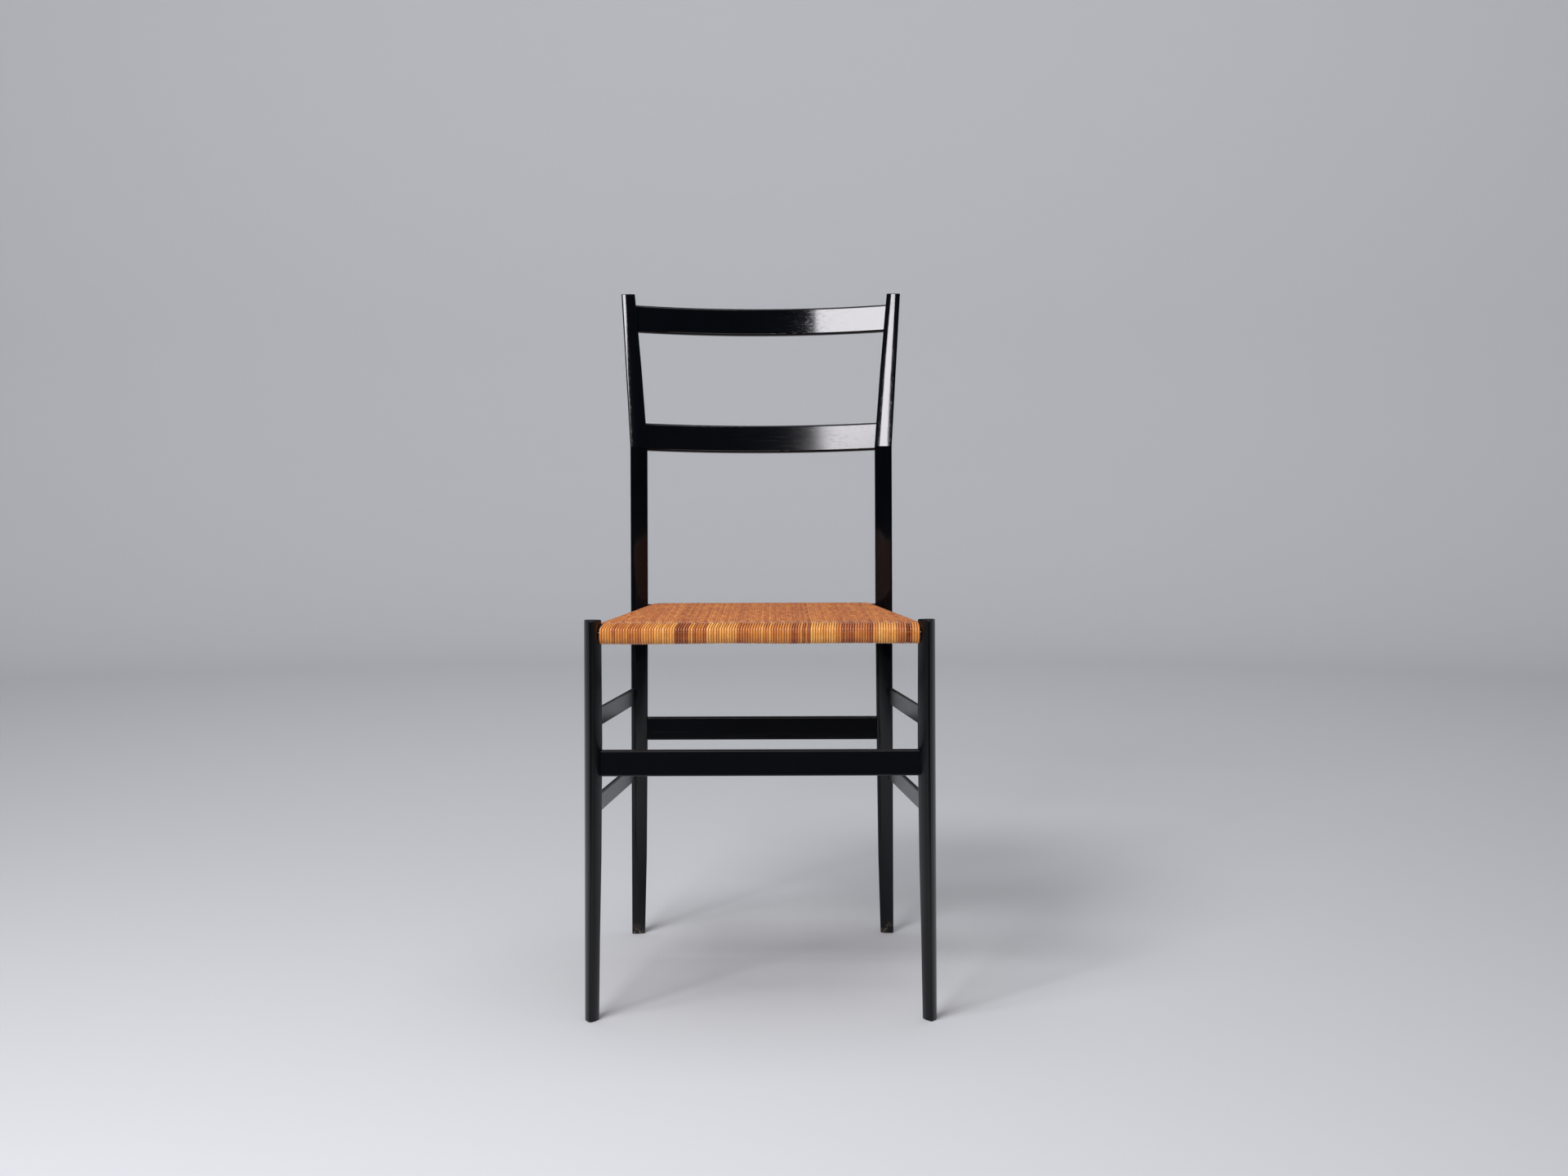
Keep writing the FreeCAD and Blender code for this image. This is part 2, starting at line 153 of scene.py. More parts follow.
def cane_tree(name, lay, keep=None):
    """lay gives a strand point's place, and keep, if given, a value under 0 for points that go."""
    tree = bpy.data.node_groups.new(name, "GeometryNodeTree")
    face = tree.interface
    face.new_socket(name="Cane", in_out="OUTPUT", socket_type="NodeSocketGeometry")
    sizes = {}
    for label, kind in (
        ("Strands", "NodeSocketInt"), ("Section points", "NodeSocketInt"),
        ("Steps", "NodeSocketInt"), ("Pitch", "NodeSocketFloat"), ("Width", "NodeSocketFloat"),
        ("Rise", "NodeSocketFloat"), ("First strand", "NodeSocketFloat"),
        ("Side", "NodeSocketFloat"), ("Turn faces", "NodeSocketBool"),
        ("Cane skin", "NodeSocketMaterial"),
    ):
        sizes[label] = face.new_socket(name=label, in_out="INPUT", socket_type=kind)
    w = Works(tree)
    given = tree.nodes.new("NodeGroupInput").outputs
    across = w.times(given["Strands"], given["Section points"])
    grid = w.node("GeometryNodeMeshGrid", {"Vertices X": across, "Vertices Y": given["Steps"]})
    index = w.node("GeometryNodeInputIndex").outputs[0]
    column = w.sum("FLOOR", w.over(index, given["Steps"]))
    step = w.less(index, w.times(column, given["Steps"]))
    strand = w.sum("FLOOR", w.over(column, given["Section points"]))
    point = w.less(column, w.times(strand, given["Section points"]))

    def kept(shape, label, value):
        stored = w.node("GeometryNodeStoreNamedAttribute", {
            "Geometry": shape, "Name": label, "Value": value,
        }, data_type="FLOAT", domain="POINT")
        return stored.outputs[0]

    shape = kept(grid.outputs["Mesh"], "strand", w.add(strand, given["First strand"]))
    shape = kept(shape, "step", step)
    shape = kept(shape, "section", w.over(point, w.less(given["Section points"], 1)))
    rows = w.less(given["Steps"], 1)
    face_column = w.sum("FLOOR", w.over(index, rows))
    in_strand = w.sum("FLOORED_MODULO", face_column, given["Section points"])
    last = w.less(given["Section points"], 1.5)
    bridge = w.sum("GREATER_THAN", in_strand, last)
    shape = w.node("GeometryNodeDeleteGeometry", {
        "Geometry": shape, "Selection": bridge,
    }, domain="FACE").outputs[0]

    def read(label):
        named = w.node("GeometryNodeInputNamedAttribute", {"Name": label}, data_type="FLOAT")
        return named.outputs["Attribute"]

    strand = read("strand")
    step = read("step")
    angle = w.times(read("section"), math.pi)
    off = w.times(w.sum("COSINE", angle), given["Width"], -0.5)
    lift = w.times(w.sum("SINE", angle), given["Rise"])
    if keep:
        lost = w.sum("LESS_THAN", keep(w, given, strand, step, off), 0.0)
        shape = w.node("GeometryNodeDeleteGeometry", {
            "Geometry": shape, "Selection": lost,
        }, domain="POINT").outputs[0]
    x, y, z = lay(w, given, strand, step, off, lift)
    place = w.node("ShaderNodeCombineXYZ", {"X": x, "Y": w.add(y, leg_edge_y), "Z": z}).outputs[0]
    shape = w.node("GeometryNodeSetPosition", {"Geometry": shape, "Position": place}).outputs[0]
    turned = w.node("GeometryNodeFlipFaces", {"Mesh": shape}).outputs[0]
    either = w.node("GeometryNodeSwitch", {
        "Switch": given["Turn faces"], "False": shape, "True": turned,
    }, input_type="GEOMETRY").outputs[0]
    shape = w.node("GeometryNodeSetShadeSmooth", {"Geometry": either}).outputs[0]
    shape = w.node("GeometryNodeRealizeInstances", {"Geometry": shape}).outputs[0]
    shape = w.node("GeometryNodeSetMaterial", {
        "Geometry": shape, "Material": given["Cane skin"],
    }).outputs[0]
    out = tree.nodes.new("NodeGroupOutput")
    tree.links.new(shape, out.inputs[0])
    return tree, {label: socket.identifier for label, socket in sizes.items()}


def crest_share(w, depth):
    return w.over(w.less(depth, side_rail_start), side_rail_end - side_rail_start)


def crest_x(w, depth):
    """How far out the side rail's highest line is at a depth."""
    return w.add(w.times(crest_share(w, depth), crest_rear_x - crest_front_x), crest_front_x)


def crest_drop(w, depth):
    fall = w.times(crest_share(w, depth), crest_rear_drop - crest_front_drop)
    return w.add(fall, crest_front_drop)


def seat_plane(w, depth):
    return w.less(rail_top, w.times(w.less(depth, rail_front), seat_slope))


def seat_skin(w, x, depth, under):
    """Level of the cane over the rails, or under them, which falls a little to the side rails."""
    inboard = w.less(crest_x(w, depth), w.sum("ABSOLUTE", x))
    edge = w.less(1.0, w.sum("MINIMUM", w.sum("MAXIMUM", w.over(inboard, crown_width), 0.0), 1.0))
    from_front = w.eased(depth, front_rail_depth + 2 * mm, front_rail_depth + 40 * mm)
    level = seat_plane(w, depth)
    if under:
        rise = w.less(rail_tall - side_rail_tall, crest_drop(w, depth))
        return w.add(w.less(level, rail_tall), w.times(edge, from_front, rise))
    return w.less(level, w.times(edge, from_front, crest_drop(w, depth)))


def twill(w, x, row):
    """1 where the lengthwise strand lies on top and -1 where it dives. Two over, two under."""
    place = w.over(x, strand_pitch)
    folded = w.less(turn_point, w.sum("ABSOLUTE", w.less(place, turn_point)))
    angle = w.times(w.add(w.less(folded, row), 0.5), math.pi / 2)
    wave = w.times(w.sum("SINE", angle), math.sqrt(2))
    return w.sum("MAXIMUM", w.sum("MINIMUM", wave, 1.0), -1.0)


def tucked(w, depth):
    """1 near the front fold, where the crosswise strands run under all the lengthwise ones."""
    start = front_rail_depth + tucked_depth
    return w.less(1.0, w.eased(depth, start - 1.5 * mm, start + 1.5 * mm))


def thinned(w, off, strand, middle):
    """The shrunken strand is narrower, which leaves gaps beside it."""
    thin = w.sum("COMPARE", w.less(strand, middle), float(thin_strand), 0.5)
    return w.times(off, w.less(1.0, w.times(thin, thin_loss)))


def fold_lean(w, x):
    """How far a strand is pushed to the right where it folds over the front rail."""
    return w.less(fold_push, w.times(x, fold_push_fall))


def lengthwise(under):
    """How the lengthwise strands of the upper or the lower layer lie."""
    def lay(w, given, strand, step, off, lift):
        depth = w.add(w.times(step, given["Pitch"]), front_rail_depth)
        straight = w.times(w.less(strand, lengthwise_middle), given["Pitch"])
        if under:
            x = w.add(straight, off)
        else:
            off = thinned(w, off, strand, lengthwise_middle)
            off = w.times(off, w.less(1.0, w.times(tucked(w, depth), fold_narrowing)))
            lean = w.less(1.0, w.eased(depth, front_rail_depth, front_rail_depth + fold_reach))
            x = w.add(straight, off, w.times(fold_lean(w, straight), lean))
        woven = w.eased(depth, front_rail_depth - 0.5 * mm, front_rail_depth + 5 * mm)
        crossed = woven if under else w.less(1.0, tucked(w, depth))
        wave = w.times(twill(w, straight, step), weave_height, crossed)
        seat = w.add(wound_seat, w.times(woven, woven_seat - wound_seat))
        rise = w.times(lift, w.add(1.0, w.times(woven, woven_rise / wound_rise - 1.0)))
        proud = w.add(seat, wave, rise)
        level = seat_skin(w, straight, depth, under)
        return x, depth, w.less(level, proud) if under else w.add(level, proud)

    def keep(w, given, strand, step, off):
        depth = w.add(w.times(step, given["Pitch"]), front_rail_depth)
        straight = w.times(w.less(strand, lengthwise_middle), given["Pitch"])
        return w.less(crest_x(w, depth), w.sum("ABSOLUTE", straight))

    return lay, keep


def row_number(w, strand):
    """A crosswise strand's place, counted from the front rail's middle."""
    return w.less(strand, crosswise_first - 0.5)


def row_depth(w, given, strand):
    return w.add(w.times(row_number(w, strand), given["Pitch"]), front_rail_depth)


def crosswise(under):
    """How the crosswise strands of the upper or the lower layer lie."""
    def lay(w, given, strand, step, off, lift):
        row = row_depth(w, given, strand)
        depth = w.add(row, off)
        far = crest_x(w, row)
        count = w.times(w.less(given["Steps"], 1), 0.5)
        wide = w.times(w.less(step, count), given["Pitch"])
        x = w.sum("MAXIMUM", w.sum("MINIMUM", wide, far), w.times(far, -1.0))
        inboard = w.eased(w.less(far, w.sum("ABSOLUTE", x)), 0.0, 5 * mm)
        wave = w.times(twill(w, wide, row_number(w, strand)), weave_height, inboard, -1.0)
        if not under:
            low = w.times(tucked(w, row), inboard)
            wave = w.less(w.times(wave, w.less(1.0, low)), w.times(low, 1.6 * weave_height))
        seat = w.add(wound_seat, w.times(inboard, woven_seat - wound_seat))
        rise = w.times(lift, w.add(1.0, w.times(inboard, woven_rise / wound_rise - 1.0)))
        proud = w.add(seat, wave, rise)
        level = seat_skin(w, x, row, under)
        level = w.less(level, w.times(off, seat_slope))
        return x, depth, w.less(level, proud) if under else w.add(level, proud)

    def keep(w, given, strand, step, off):
        row = row_depth(w, given, strand)
        count = w.times(w.less(given["Steps"], 1), 0.5)
        wide = w.sum("ABSOLUTE", w.times(w.less(step, count), given["Pitch"]))
        clear_of_leg = w.sum("LESS_THAN", row, leg_back_depth + strand_width / 2)
        room = w.less(crest_x(w, row), w.times(clear_of_leg, 12 * mm))
        return w.less(w.add(room, given["Pitch"]), wide)

    return lay, keep


def round_side_rail(w, given, strand, step, off, lift):
    """Half a turn round the outside of a side rail."""
    row = row_depth(w, given, strand)
    depth = w.add(row, off)
    angle = w.times(w.over(step, w.less(given["Steps"], 1)), math.pi)
    grow = w.add(lift, wound_seat)
    out = w.times(w.sum("SINE", angle), w.add(grow, side_rail_wide / 2))
    x = w.times(w.add(crest_x(w, row), out), given["Side"])
    middle = w.less(w.less(seat_plane(w, depth), crest_drop(w, row)), side_rail_tall / 2)
    z = w.add(middle, w.times(w.sum("COSINE", angle), w.add(grow, side_rail_tall / 2)))
    return x, depth, z


def round_cross_rail(rail_depth, leaning):
    """Half a turn round the outside of the front or the rear rail."""
    def lay(w, given, strand, step, off, lift):
        angle = w.times(w.over(step, w.less(given["Steps"], 1)), math.pi)
        grow = w.add(lift, wound_seat)
        if leaning:
            sag = w.eased(strand, -30.0, -52.0)
            uneven = w.times(w.sum("SINE", w.times(strand, 12.7)), 0.3 * mm)
            slack = w.add(uneven, w.times(sag, 0.6 * mm), 0.3 * mm)
            grow = w.add(grow, w.times(slack, w.eased(angle, 1.7, 2.6)))
            off = thinned(w, off, strand, 0.0)
            wide = w.times(w.eased(angle, 0.3, 1.1), fold_narrowing)
            off = w.times(off, w.add(wide, 1.0 - fold_narrowing))
        out = w.times(w.sum("SINE", angle), w.add(grow, rail_deep / 2), given["Side"])
        depth = w.add(out, rail_depth)
        middle = rail_top - (rail_depth - rail_front) * seat_slope - rail_tall / 2
        z = w.add(w.times(w.sum("COSINE", angle), w.add(grow, rail_tall / 2)), middle)
        straight = w.times(strand, given["Pitch"])
        x = w.add(straight, off)
        if leaning:
            upright = w.eased(angle, 0.0, 1.15)
            x = w.add(x, w.times(fold_lean(w, straight), w.less(1.0, upright)))
        return x, depth, z

    return lay


def lay_cane(name, tree_and_sockets, sizes, replaces):
    """Makes one piece of cane from its tree and fixes it as a plain mesh.

    The pitch, width, rise and skin are the same for all of the seat."""
    tree, sockets = tree_and_sockets
    sizes = {
        "Pitch": strand_pitch, "Width": strand_width, "Rise": wound_rise, "Cane skin": skin,
        **sizes,
    }
    start = bpy.data.meshes.new(name + "_start")
    maker = bpy.data.objects.new(name + "_maker", start)
    bpy.context.scene.collection.objects.link(maker)
    modifier = maker.modifiers.new("strands", "NODES")
    modifier.node_group = tree
    for label, value in sizes.items():
        modifier[sockets[label]] = value
    graph = bpy.context.evaluated_depsgraph_get()
    mesh = bpy.data.meshes.new_from_object(maker.evaluated_get(graph), depsgraph=graph)
    maker.modifiers.clear()
    bpy.data.objects.remove(maker)
    mesh.name = name
    if "step" in mesh.attributes:
        mesh.attributes.remove(mesh.attributes["step"])
    piece = bpy.data.objects.new(name, mesh)
    bpy.context.scene.collection.objects.link(piece)
    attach(piece, "root")
    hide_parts(replaces)
    return piece


# Finishes

def new_finish(name):
    finish = bpy.data.materials.new(name)
    finish.use_nodes = True
    finish.node_tree.nodes.clear()
    w = Works(finish.node_tree)
    shader = w.node("ShaderNodeBsdfPrincipled")
    out = w.node("ShaderNodeOutputMaterial")
    finish.node_tree.links.new(shader.outputs[0], out.inputs["Surface"])
    return finish, w, shader


def mixed(w, share, first, second):
    made = w.node("ShaderNodeMix", data_type="RGBA")
    w.put(made.inputs[0], share)
    w.put(made.inputs[6], first)
    w.put(made.inputs[7], second)
    return made.outputs[2]


def stretched_noise(w, place, scale, detail, roughness=0.6):
    """Noise drawn out along one way or another by a scale for each way."""
    stretched = w.node("ShaderNodeMapping", {"Vector": place, "Scale": scale}).outputs[0]
    return w.node("ShaderNodeTexNoise", {
        "Vector": stretched, "Scale": 1.0, "Detail": detail, "Roughness": roughness,
    }).outputs["Fac"]


def black_lacquer(name, grain_scale, satin, planed=None):
    """Black lacquer on ash, with fine pores, an uneven skin and edges rubbed through in places."""
    finish, w, shader = new_finish(name)
    place = w.node("ShaderNodeTexCoord").outputs["Object"]
    grain = stretched_noise(w, place, grain_scale, 5.0, 0.62)
    pores = w.eased(grain, 0.54, 0.7)
    cloud = w.node("ShaderNodeTexNoise", {
        "Vector": place, "Scale": 34.0, "Detail": 4.0, "Roughness": 0.55,
    }).outputs["Fac"]
    fine = w.node("ShaderNodeTexNoise", {
        "Vector": place, "Scale": 520.0, "Detail": 3.0, "Roughness": 0.6,
    }).outputs["Fac"]
    soft_edge = w.node("ShaderNodeBevel", {"Radius": 0.9 * mm}, samples=6).outputs[0]
    true_face = w.node("ShaderNodeNewGeometry").outputs["Normal"]
    agree = w.node("ShaderNodeVectorMath", operation="DOT_PRODUCT")
    w.put(agree.inputs[0], soft_edge)
    w.put(agree.inputs[1], true_face)
    edge = w.less(1.0, agree.outputs["Value"])
    chips = w.times(
        w.eased(edge, 0.04, 0.16), w.eased(cloud, 0.66, 0.72), w.eased(fine, 0.46, 0.62),
    )
    height = w.node("ShaderNodeSeparateXYZ", {"Vector": place}).outputs["Z"]
    at_foot = w.less(1.0, w.eased(height, 1 * mm, 18 * mm))
    scuffed = w.times(at_foot, w.eased(cloud, 0.54, 0.66), w.eased(fine, 0.5, 0.62))
    worn = w.sum("MAXIMUM", chips, scuffed)
    black = mixed(w, cloud, (0.0009, 0.0013, 0.0022, 1), (0.0020, 0.0024, 0.0036, 1))
    black = mixed(w, w.times(pores, 0.5), black, (0.0006, 0.0006, 0.0009, 1))
    bare = mixed(w, fine, (0.16, 0.10, 0.06, 1), (0.42, 0.32, 0.22, 1))
    w.put(shader.inputs["Base Color"], mixed(w, worn, black, bare))
    upward = w.node("ShaderNodeSeparateXYZ", {"Vector": true_face}).outputs["Z"]
    dull = w.sum("MAXIMUM", worn, w.eased(upward, 0.94, 0.99))
    gloss = w.add(satin, w.times(cloud, 0.04), w.times(pores, 0.05), w.times(dull, 0.5))
    w.put(shader.inputs["Roughness"], gloss)
    shader.inputs["Specular IOR Level"].default_value = 0.32
    relief = w.add(w.times(pores, -0.5), w.times(fine, 0.35), w.times(worn, -0.6))
    bump = w.node("ShaderNodeBump", {"Height": relief, "Strength": 0.07, "Distance": 0.2 * mm})
    if planed:
        whole = w.node("ShaderNodeBump", {
            "Height": planed(w, place), "Strength": 1.0, "Distance": 1.0,
        })
        w.put(bump.inputs["Normal"], whole.outputs[0])
    w.put(shader.inputs["Normal"], bump.outputs[0])
    return finish


def hand_planed(turned_in, flatness):
    """A post's face as the plane left it: turned in by some degrees, and flatter."""
    def height(w, place):
        parts = w.node("ShaderNodeSeparateXYZ", {"Vector": place}).outputs
        above = w.sum("MAXIMUM", w.less(parts["Z"], post_bend), 0.0)
        below = w.sum("MAXIMUM", w.less(post_bend, parts["Z"]), 0.0)
        middle = w.add(post_bend_middle, w.times(above, post_flare), w.times(below, post_splay))
        off = w.less(w.sum("ABSOLUTE", parts["X"]), middle)
        tilt = w.times(off, math.tan(math.radians(turned_in)))
        return w.add(tilt, w.times(off, off, flatness / 2))

    return height


lot_reach = 61.0
lots_of_cane = (
    (-56, 0.6), (-53, 0.35), (-52, 0.55), (-45, 0.12), (-32, 0.95), (-27, 0.3), (-25, 0.85),
    (-20, 0.08), (-10, 0.35), (-8, 0.62), (0, 0.35), (12, 0.9), (15, 0.35), (17, 0.8),
    (20, 0.05), (30, 0.4), (32, 1.0), (37, 0.35), (38, 0.8), (44, 0.3), (46, 0.05), (53, 0.5),
    (55, 0.85), (59, 0.5),
)


def strand_shades(w, strand, inward):
    """How red or dark each lengthwise strand is: lighter and redder lots of cane lie side by side.

    They stand out at the front rail and calm down inward on the worn deck."""
    lots = w.node("ShaderNodeValToRGB")
    w.put(lots.inputs[0], w.over(w.add(strand, lot_reach + 0.5), 2 * lot_reach + 1.0))
    ramp = lots.color_ramp
    ramp.interpolation = "CONSTANT"
    ramp.elements.remove(ramp.elements[1])
    ramp.elements[0].color = (0.4, 0.4, 0.4, 1)
    for first, red in lots_of_cane:
        place = (first + lot_reach) / (2 * lot_reach + 1.0)
        ramp.elements.new(place).color = (red, red, red, 1)
    calmer = w.add(w.times(lots.outputs[0], 0.3), 0.36)
    return mixed(w, inward, lots.outputs[0], calmer)


def cane_skin():
    """Split cane: each strand has its own honey or red brown, streaked along its length."""
    finish, w, shader = new_finish("woven_cane")
    strand = w.node("ShaderNodeAttribute", attribute_name="strand").outputs["Fac"]
    crosswise = w.sum("GREATER_THAN", strand, crosswise_first / 2)
    woven = w.sum("GREATER_THAN", strand, lengthwise_middle / 2)
    strand = w.less(strand, w.times(w.less(woven, crosswise), lengthwise_middle))
    own = w.node("ShaderNodeTexWhiteNoise", noise_dimensions="1D")
    w.put(own.inputs["W"], strand)
    own = own.outputs["Value"]
    place = w.node("ShaderNodeTexCoord").outputs["Object"]
    blotch = w.node("ShaderNodeTexNoise", {
        "Vector": place, "Scale": 60.0, "Detail": 4.0, "Roughness": 0.6,
    }).outputs["Fac"]
    fibre = stretched_noise(w, place, (2600, 60, 300), 3.0)
    mottle = stretched_noise(w, place, (170, 430, 170), 2.0)
    depth = w.node("ShaderNodeSeparateXYZ", {"Vector": place}).outputs["Y"]
    fold_y = leg_edge_y + front_rail_depth
    inward = w.eased(depth, fold_y + 6 * mm, fold_y + 38 * mm)
    lot = w.times(strand_shades(w, strand, inward), w.less(1.0, crosswise))
    lot = w.add(lot, w.times(crosswise, 0.45))
    own = w.times(own, w.add(0.36, w.times(crosswise, 0.2)))
    worn = w.times(inward, w.less(w.times(mottle, 1.5), 0.66))
    tone = w.less(w.add(w.times(lot, 0.54), own, w.times(blotch, 0.5), worn), 0.15)
    shades = w.node("ShaderNodeValToRGB")
    w.put(shades.inputs[0], tone)
    ramp = shades.color_ramp
    ramp.elements[0].position = 0.0
    ramp.elements[0].color = (0.88, 0.48, 0.13, 1)
    ramp.elements[1].position = 1.0
    ramp.elements[1].color = (0.22, 0.060, 0.022, 1)
    ramp.elements.new(0.28).color = (0.76, 0.34, 0.078, 1)
    ramp.elements.new(0.52).color = (0.58, 0.20, 0.046, 1)
    ramp.elements.new(0.76).color = (0.38, 0.105, 0.032, 1)
    streaks = w.times(w.eased(fibre, 0.5, 0.72), 0.45)
    # Each strand's edges are darkened toward dark brown. This is partly dirt in the joints and
    # partly painted shade between the strands.
    section = w.node("ShaderNodeAttribute", attribute_name="section").outputs["Fac"]
    from_middle = w.times(w.sum("ABSOLUTE", w.less(section, 0.5)), 2.0)
    joint_dirt_and_shade = w.times(w.eased(from_middle, 0.6, 1.0), 0.6)
    streaked = mixed(w, streaks, shades.outputs[0], (0.15, 0.052, 0.020, 1))
    w.put(shader.inputs["Base Color"], mixed(w, joint_dirt_and_shade, streaked, (0.035, 0.012, 0.006, 1)))
    gloss = w.add(0.1, w.times(blotch, 0.12), w.times(fibre, 0.06), w.times(inward, 0.42))
    w.put(shader.inputs["Roughness"], gloss)
    shader.inputs["Specular IOR Level"].default_value = 0.35
    relief = w.add(w.times(fibre, 0.6), w.times(blotch, 0.4))
    bump = w.node("ShaderNodeBump", {"Height": relief, "Strength": 0.16, "Distance": 0.2 * mm})
    w.put(shader.inputs["Normal"], bump.outputs[0])
    return finish


# The wooden frame keeps its own shapes and gets its lacquer, with the grain along each piece

fine_grain = 900.0
long_grain = 14.0
along_upright = (fine_grain, fine_grain, long_grain)
along_width = (long_grain, fine_grain, fine_grain)
along_depth = (fine_grain, long_grain, fine_grain)
lacquers = {
    "post_right": black_lacquer(
        "black_ash_post_right", along_upright, 0.06, hand_planed(turned_in=5.2, flatness=5.9),
    ),
    "post_left": black_lacquer(
        "black_ash_post_left", along_upright, 0.06, hand_planed(turned_in=-1.2, flatness=0.0),
    ),
    "leg": black_lacquer("black_ash_leg", along_upright, 0.2),
    "across": black_lacquer("black_ash_across", along_width, 0.05),
    "lower_slat": black_lacquer("black_ash_lower_slat", along_width, 0.11),
    "front_to_back": black_lacquer("black_ash_front_to_back", along_depth, 0.28),
}
grain_of = {
    "post_right": ("rear_post_right",),
    "post_left": ("rear_post_left",),
    "leg": ("front_leg_left", "front_leg_right"),
    "across": (
        "stretcher_front", "stretcher_rear", "seat_rail_front", "seat_rail_rear",
        "back_slat_top",
    ),
    "lower_slat": ("back_slat_lower",),
    "front_to_back": (
        "stretcher_left_upper", "stretcher_left_lower", "stretcher_right_upper",
        "stretcher_right_lower", "seat_rail_left", "seat_rail_right",
    ),
}
for way, names in grain_of.items():
    for name in names:
        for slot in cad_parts[name].material_slots:
            slot.material = lacquers[way]

# The woven seat: as many crosswise rows as fit between the middles of the front and rear rails

skin = cane_skin()
rows = int((rear_rail_depth - front_rail_depth) / strand_pitch)
lengthwise_steps = rows + 2
crosswise_steps = 2 * int(crest_front_x / strand_pitch + 2) + 1

for layer, under in (("deck", False), ("underside", True)):
    points = 3 if under else 5
    name = "cane_" + layer + "_lengthwise"
    lay_cane(name, cane_tree(name, *lengthwise(under)), {
        "Strands": deck_strands, "Section points": points, "Steps": lengthwise_steps,
        "First strand": lengthwise_middle - (deck_strands - 1) / 2,
        "Side": 1.0, "Turn faces": under,
    }, "seat_cane_" + layer)
    name = "cane_" + layer + "_crosswise"
    lay_cane(name, cane_tree(name, *crosswise(under)), {
        "Strands": rows, "Section points": points, "Steps": crosswise_steps,
        "First strand": crosswise_first, "Side": 1.0, "Turn faces": not under,
    }, "seat_cane_" + layer)

side_tree = cane_tree("cane_round_side_rails", round_side_rail)
for end, side in (("left", -1.0), ("right", 1.0)):
    lay_cane("cane_turns_" + end, side_tree, {
        "Strands": rows - 1, "Section points": 5, "Steps": 13,
        "First strand": crosswise_first + 1, "Side": side, "Turn faces": side > 0,
    }, "seat_cane_turns_" + end)

for end, rail_depth, strands, points, steps in (
    ("front", front_rail_depth, front_strands, 7, 19),
    ("rear", rear_rail_depth, rear_strands, 5, 15),
):
    front = end == "front"
    round_rail = round_cross_rail(rail_depth, leaning=front)
    lay_cane("cane_turns_" + end, cane_tree("cane_round_" + end + "_rail", round_rail), {
        "Strands": strands, "Section points": points, "Steps": steps,
        "First strand": -(strands - 1) / 2, "Side": -1.0 if front else 1.0, "Turn faces": front,
    }, "seat_cane_turns_" + end)

# Studio: pale grey paper all round, a soft lamp to the left and weaker ones elsewhere

paper_middle_y = -0.4
paper_reach_x = 5.2
paper_reach_y = 4.0
paper_bend_share = 0.2
paper_bend_height = 0.8
paper_wall_height = 2.3


def paper_bowl():
    """Floor and backdrop in one: a flat floor that bends up into a low wall all the way round.

    The floor in front of the chair is bounced and mirrored as if black cloth lay there."""
    flat = 1.0 - paper_bend_share
    profile = [(0.35 * step / 3, 0.0) for step in range(4)] + [(flat, 0.0)]
    bends = 16
    for step in range(1, bends + 1):
        angle = math.pi / 2 * step / bends
        share = flat + paper_bend_share * math.sin(angle)
        profile.append((share, paper_bend_height * (1 - math.cos(angle))))
    profile.append((1.0, paper_wall_height))
    turns = 96
    points = []
    faces = []
    for index, (share, z) in enumerate(profile):
        for turn in range(turns):
            angle = 2 * math.pi * turn / turns
            x = paper_reach_x * share * math.sin(angle)
            y = paper_middle_y + paper_reach_y * share * math.cos(angle)
            points.append((x, y, z))
            if index:
                after = (turn + 1) % turns
                low, high = (index - 1) * turns, index * turns
                faces.append((low + turn, high + turn, high + after, low + after))
    mesh = bpy.data.meshes.new("paper_bowl")
    mesh.from_pydata(points, [], faces)
    mesh.polygons.foreach_set("use_smooth", [True] * len(mesh.polygons))
    piece = bpy.data.objects.new("paper_bowl", mesh)
    bpy.context.scene.collection.objects.link(piece)
    finish, w, shader = new_finish("pale_grey_paper")
    place = w.node("ShaderNodeTexCoord").outputs["Object"]
    depth = w.node("ShaderNodeSeparateXYZ", {"Vector": place}).outputs["Y"]
    seen = w.node("ShaderNodeLightPath").outputs["Is Camera Ray"]
    shaded = w.times(w.less(1.0, w.eased(depth, -1.3, -0.8)), w.less(1.0, seen))
    tint = mixed(w, shaded, (0.62, 0.64, 0.645, 1), (0.05, 0.052, 0.055, 1))
    w.put(shader.inputs["Base Color"], tint)
    shader.inputs["Roughness"].default_value = 0.9
    shader.inputs["Specular IOR Level"].default_value = 0.1
    mesh.materials.append(finish)


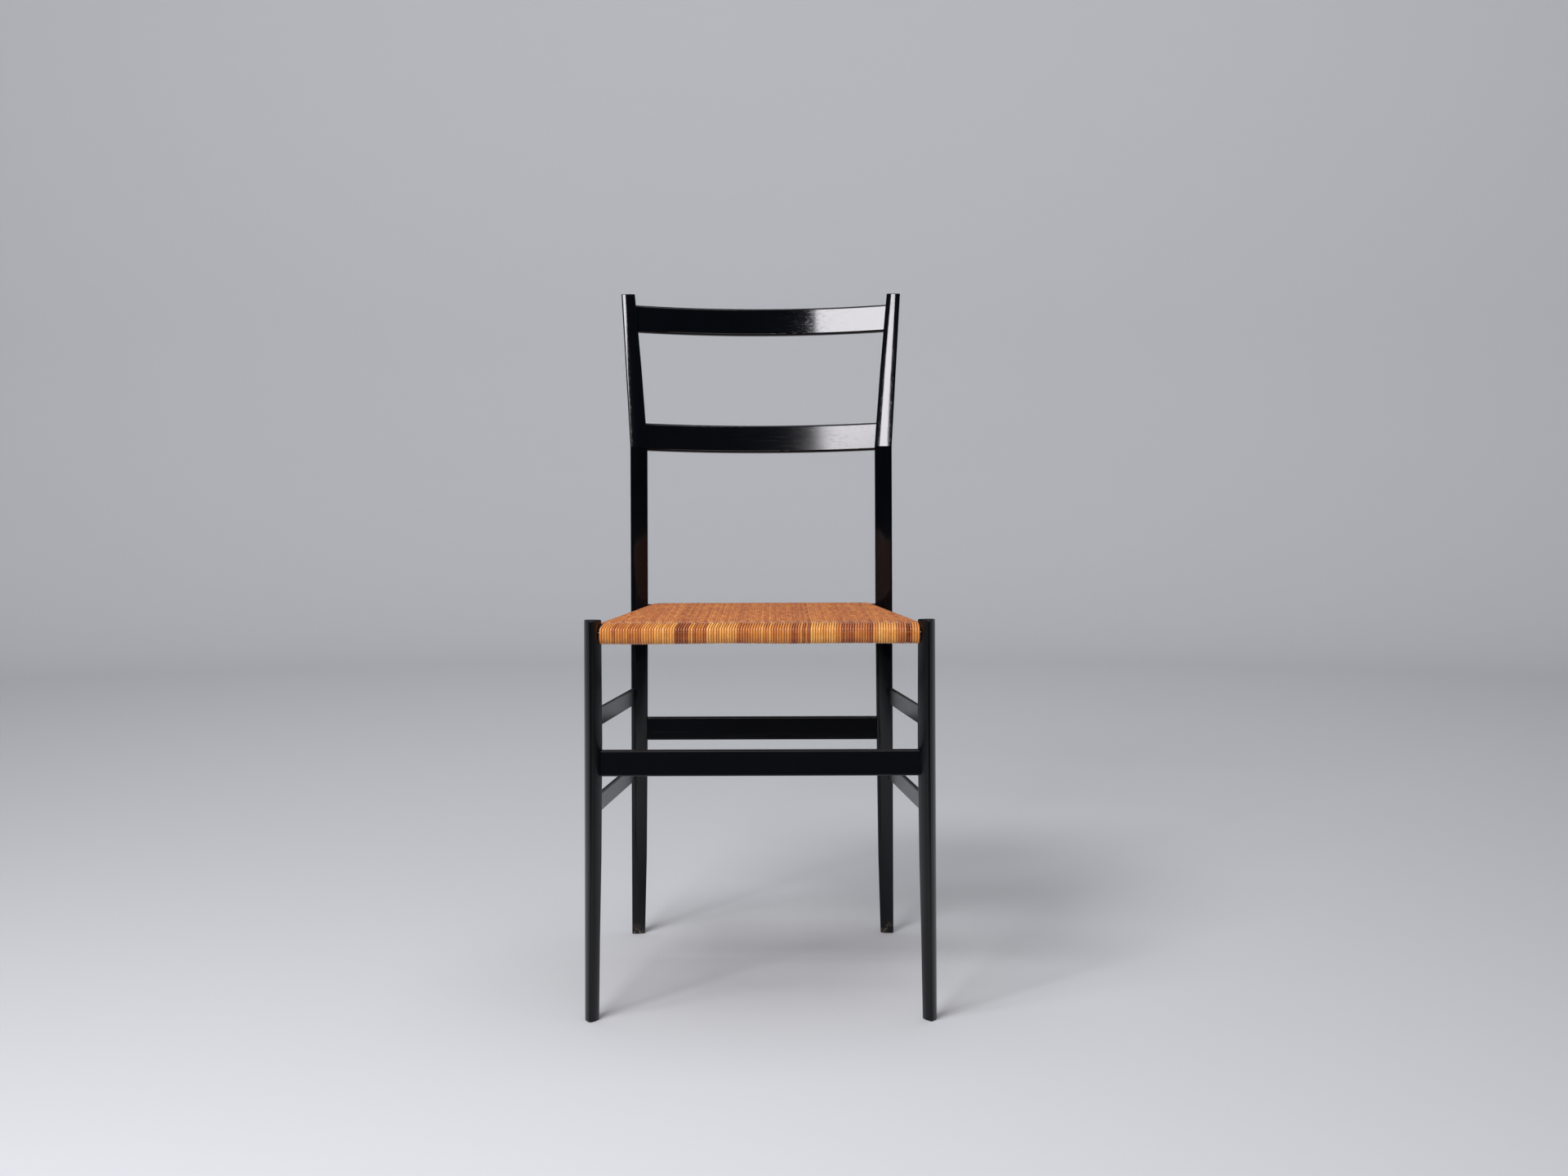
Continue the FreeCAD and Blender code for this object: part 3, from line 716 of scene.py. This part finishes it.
def soft_lamp(name, place, target, width, height, power):
    light = bpy.data.lights.new(name, "AREA")
    light.shape = "RECTANGLE"
    light.size = width
    light.size_y = height
    light.energy = power
    light.color = (1.0, 0.98, 1.03)
    lamp = bpy.data.objects.new(name, light)
    lamp.location = place
    way = Vector(target) - Vector(place)
    lamp.rotation_euler = way.to_track_quat("-Z", "Y").to_euler()
    lamp.visible_camera = False
    bpy.context.scene.collection.objects.link(lamp)


paper_bowl()
soft_lamp("key_left", (-1.122, -2.233, 2.043), (0.028, 0.125, 0.589), 1.15, 0.6, 62)
soft_lamp("side_left", (-1.5, -1.5, 2.9), (0, 0, 0.4), 0.8, 0.8, 22)
soft_lamp("overhead", (0.2, -0.2, 3.3), (0.2, -0.1, 0), 3.0, 3.0, 44)
soft_lamp("front", (0.0, -3.5, 1.0), (0, -0.2, 0.6), 2.4, 0.5, 26)
soft_lamp("backdrop", (0.0, 1.3, 2.6), (0, 3.5, 0.9), 4.0, 0.6, 22)

world = bpy.data.worlds.new("studio")
world.use_nodes = True
sky = world.node_tree.nodes["Background"].inputs
sky["Color"].default_value = (0.48, 0.56, 0.70, 1)
sky["Strength"].default_value = 0.06
bpy.context.scene.world = world
bpy.context.scene.view_settings.view_transform = "Standard"

# Camera: 2.9 m away at the height of the back, looking down by six degrees, as fitted to the photo

camera_place = (0.01951, -2.91222, 0.78403)
camera_down = 0.10655
camera_roll = -0.00246
camera_turn = -0.00299
camera_lens = 55.4244


def set_camera():
    right = Vector((1, 0, 0))
    ahead = Vector((0, math.cos(camera_down), -math.sin(camera_down)))
    up = Vector((0, math.sin(camera_down), math.cos(camera_down)))
    right, up = (
        right * math.cos(camera_roll) + up * math.sin(camera_roll),
        up * math.cos(camera_roll) - right * math.sin(camera_roll),
    )
    turn = Matrix((
        (math.cos(camera_turn), -math.sin(camera_turn), 0),
        (math.sin(camera_turn), math.cos(camera_turn), 0),
        (0, 0, 1),
    ))
    right, up, back = turn @ right, turn @ up, turn @ -ahead
    data = bpy.data.cameras.new("camera")
    data.sensor_fit = "HORIZONTAL"
    data.sensor_width = 36.0
    data.lens = camera_lens
    data.clip_end = 50.0
    camera = bpy.data.objects.new("camera", data)
    facing = Matrix((right, up, back)).transposed().to_4x4()
    facing.translation = Vector(camera_place)
    camera.matrix_world = facing
    bpy.context.scene.collection.objects.link(camera)
    bpy.context.scene.camera = camera


set_camera()
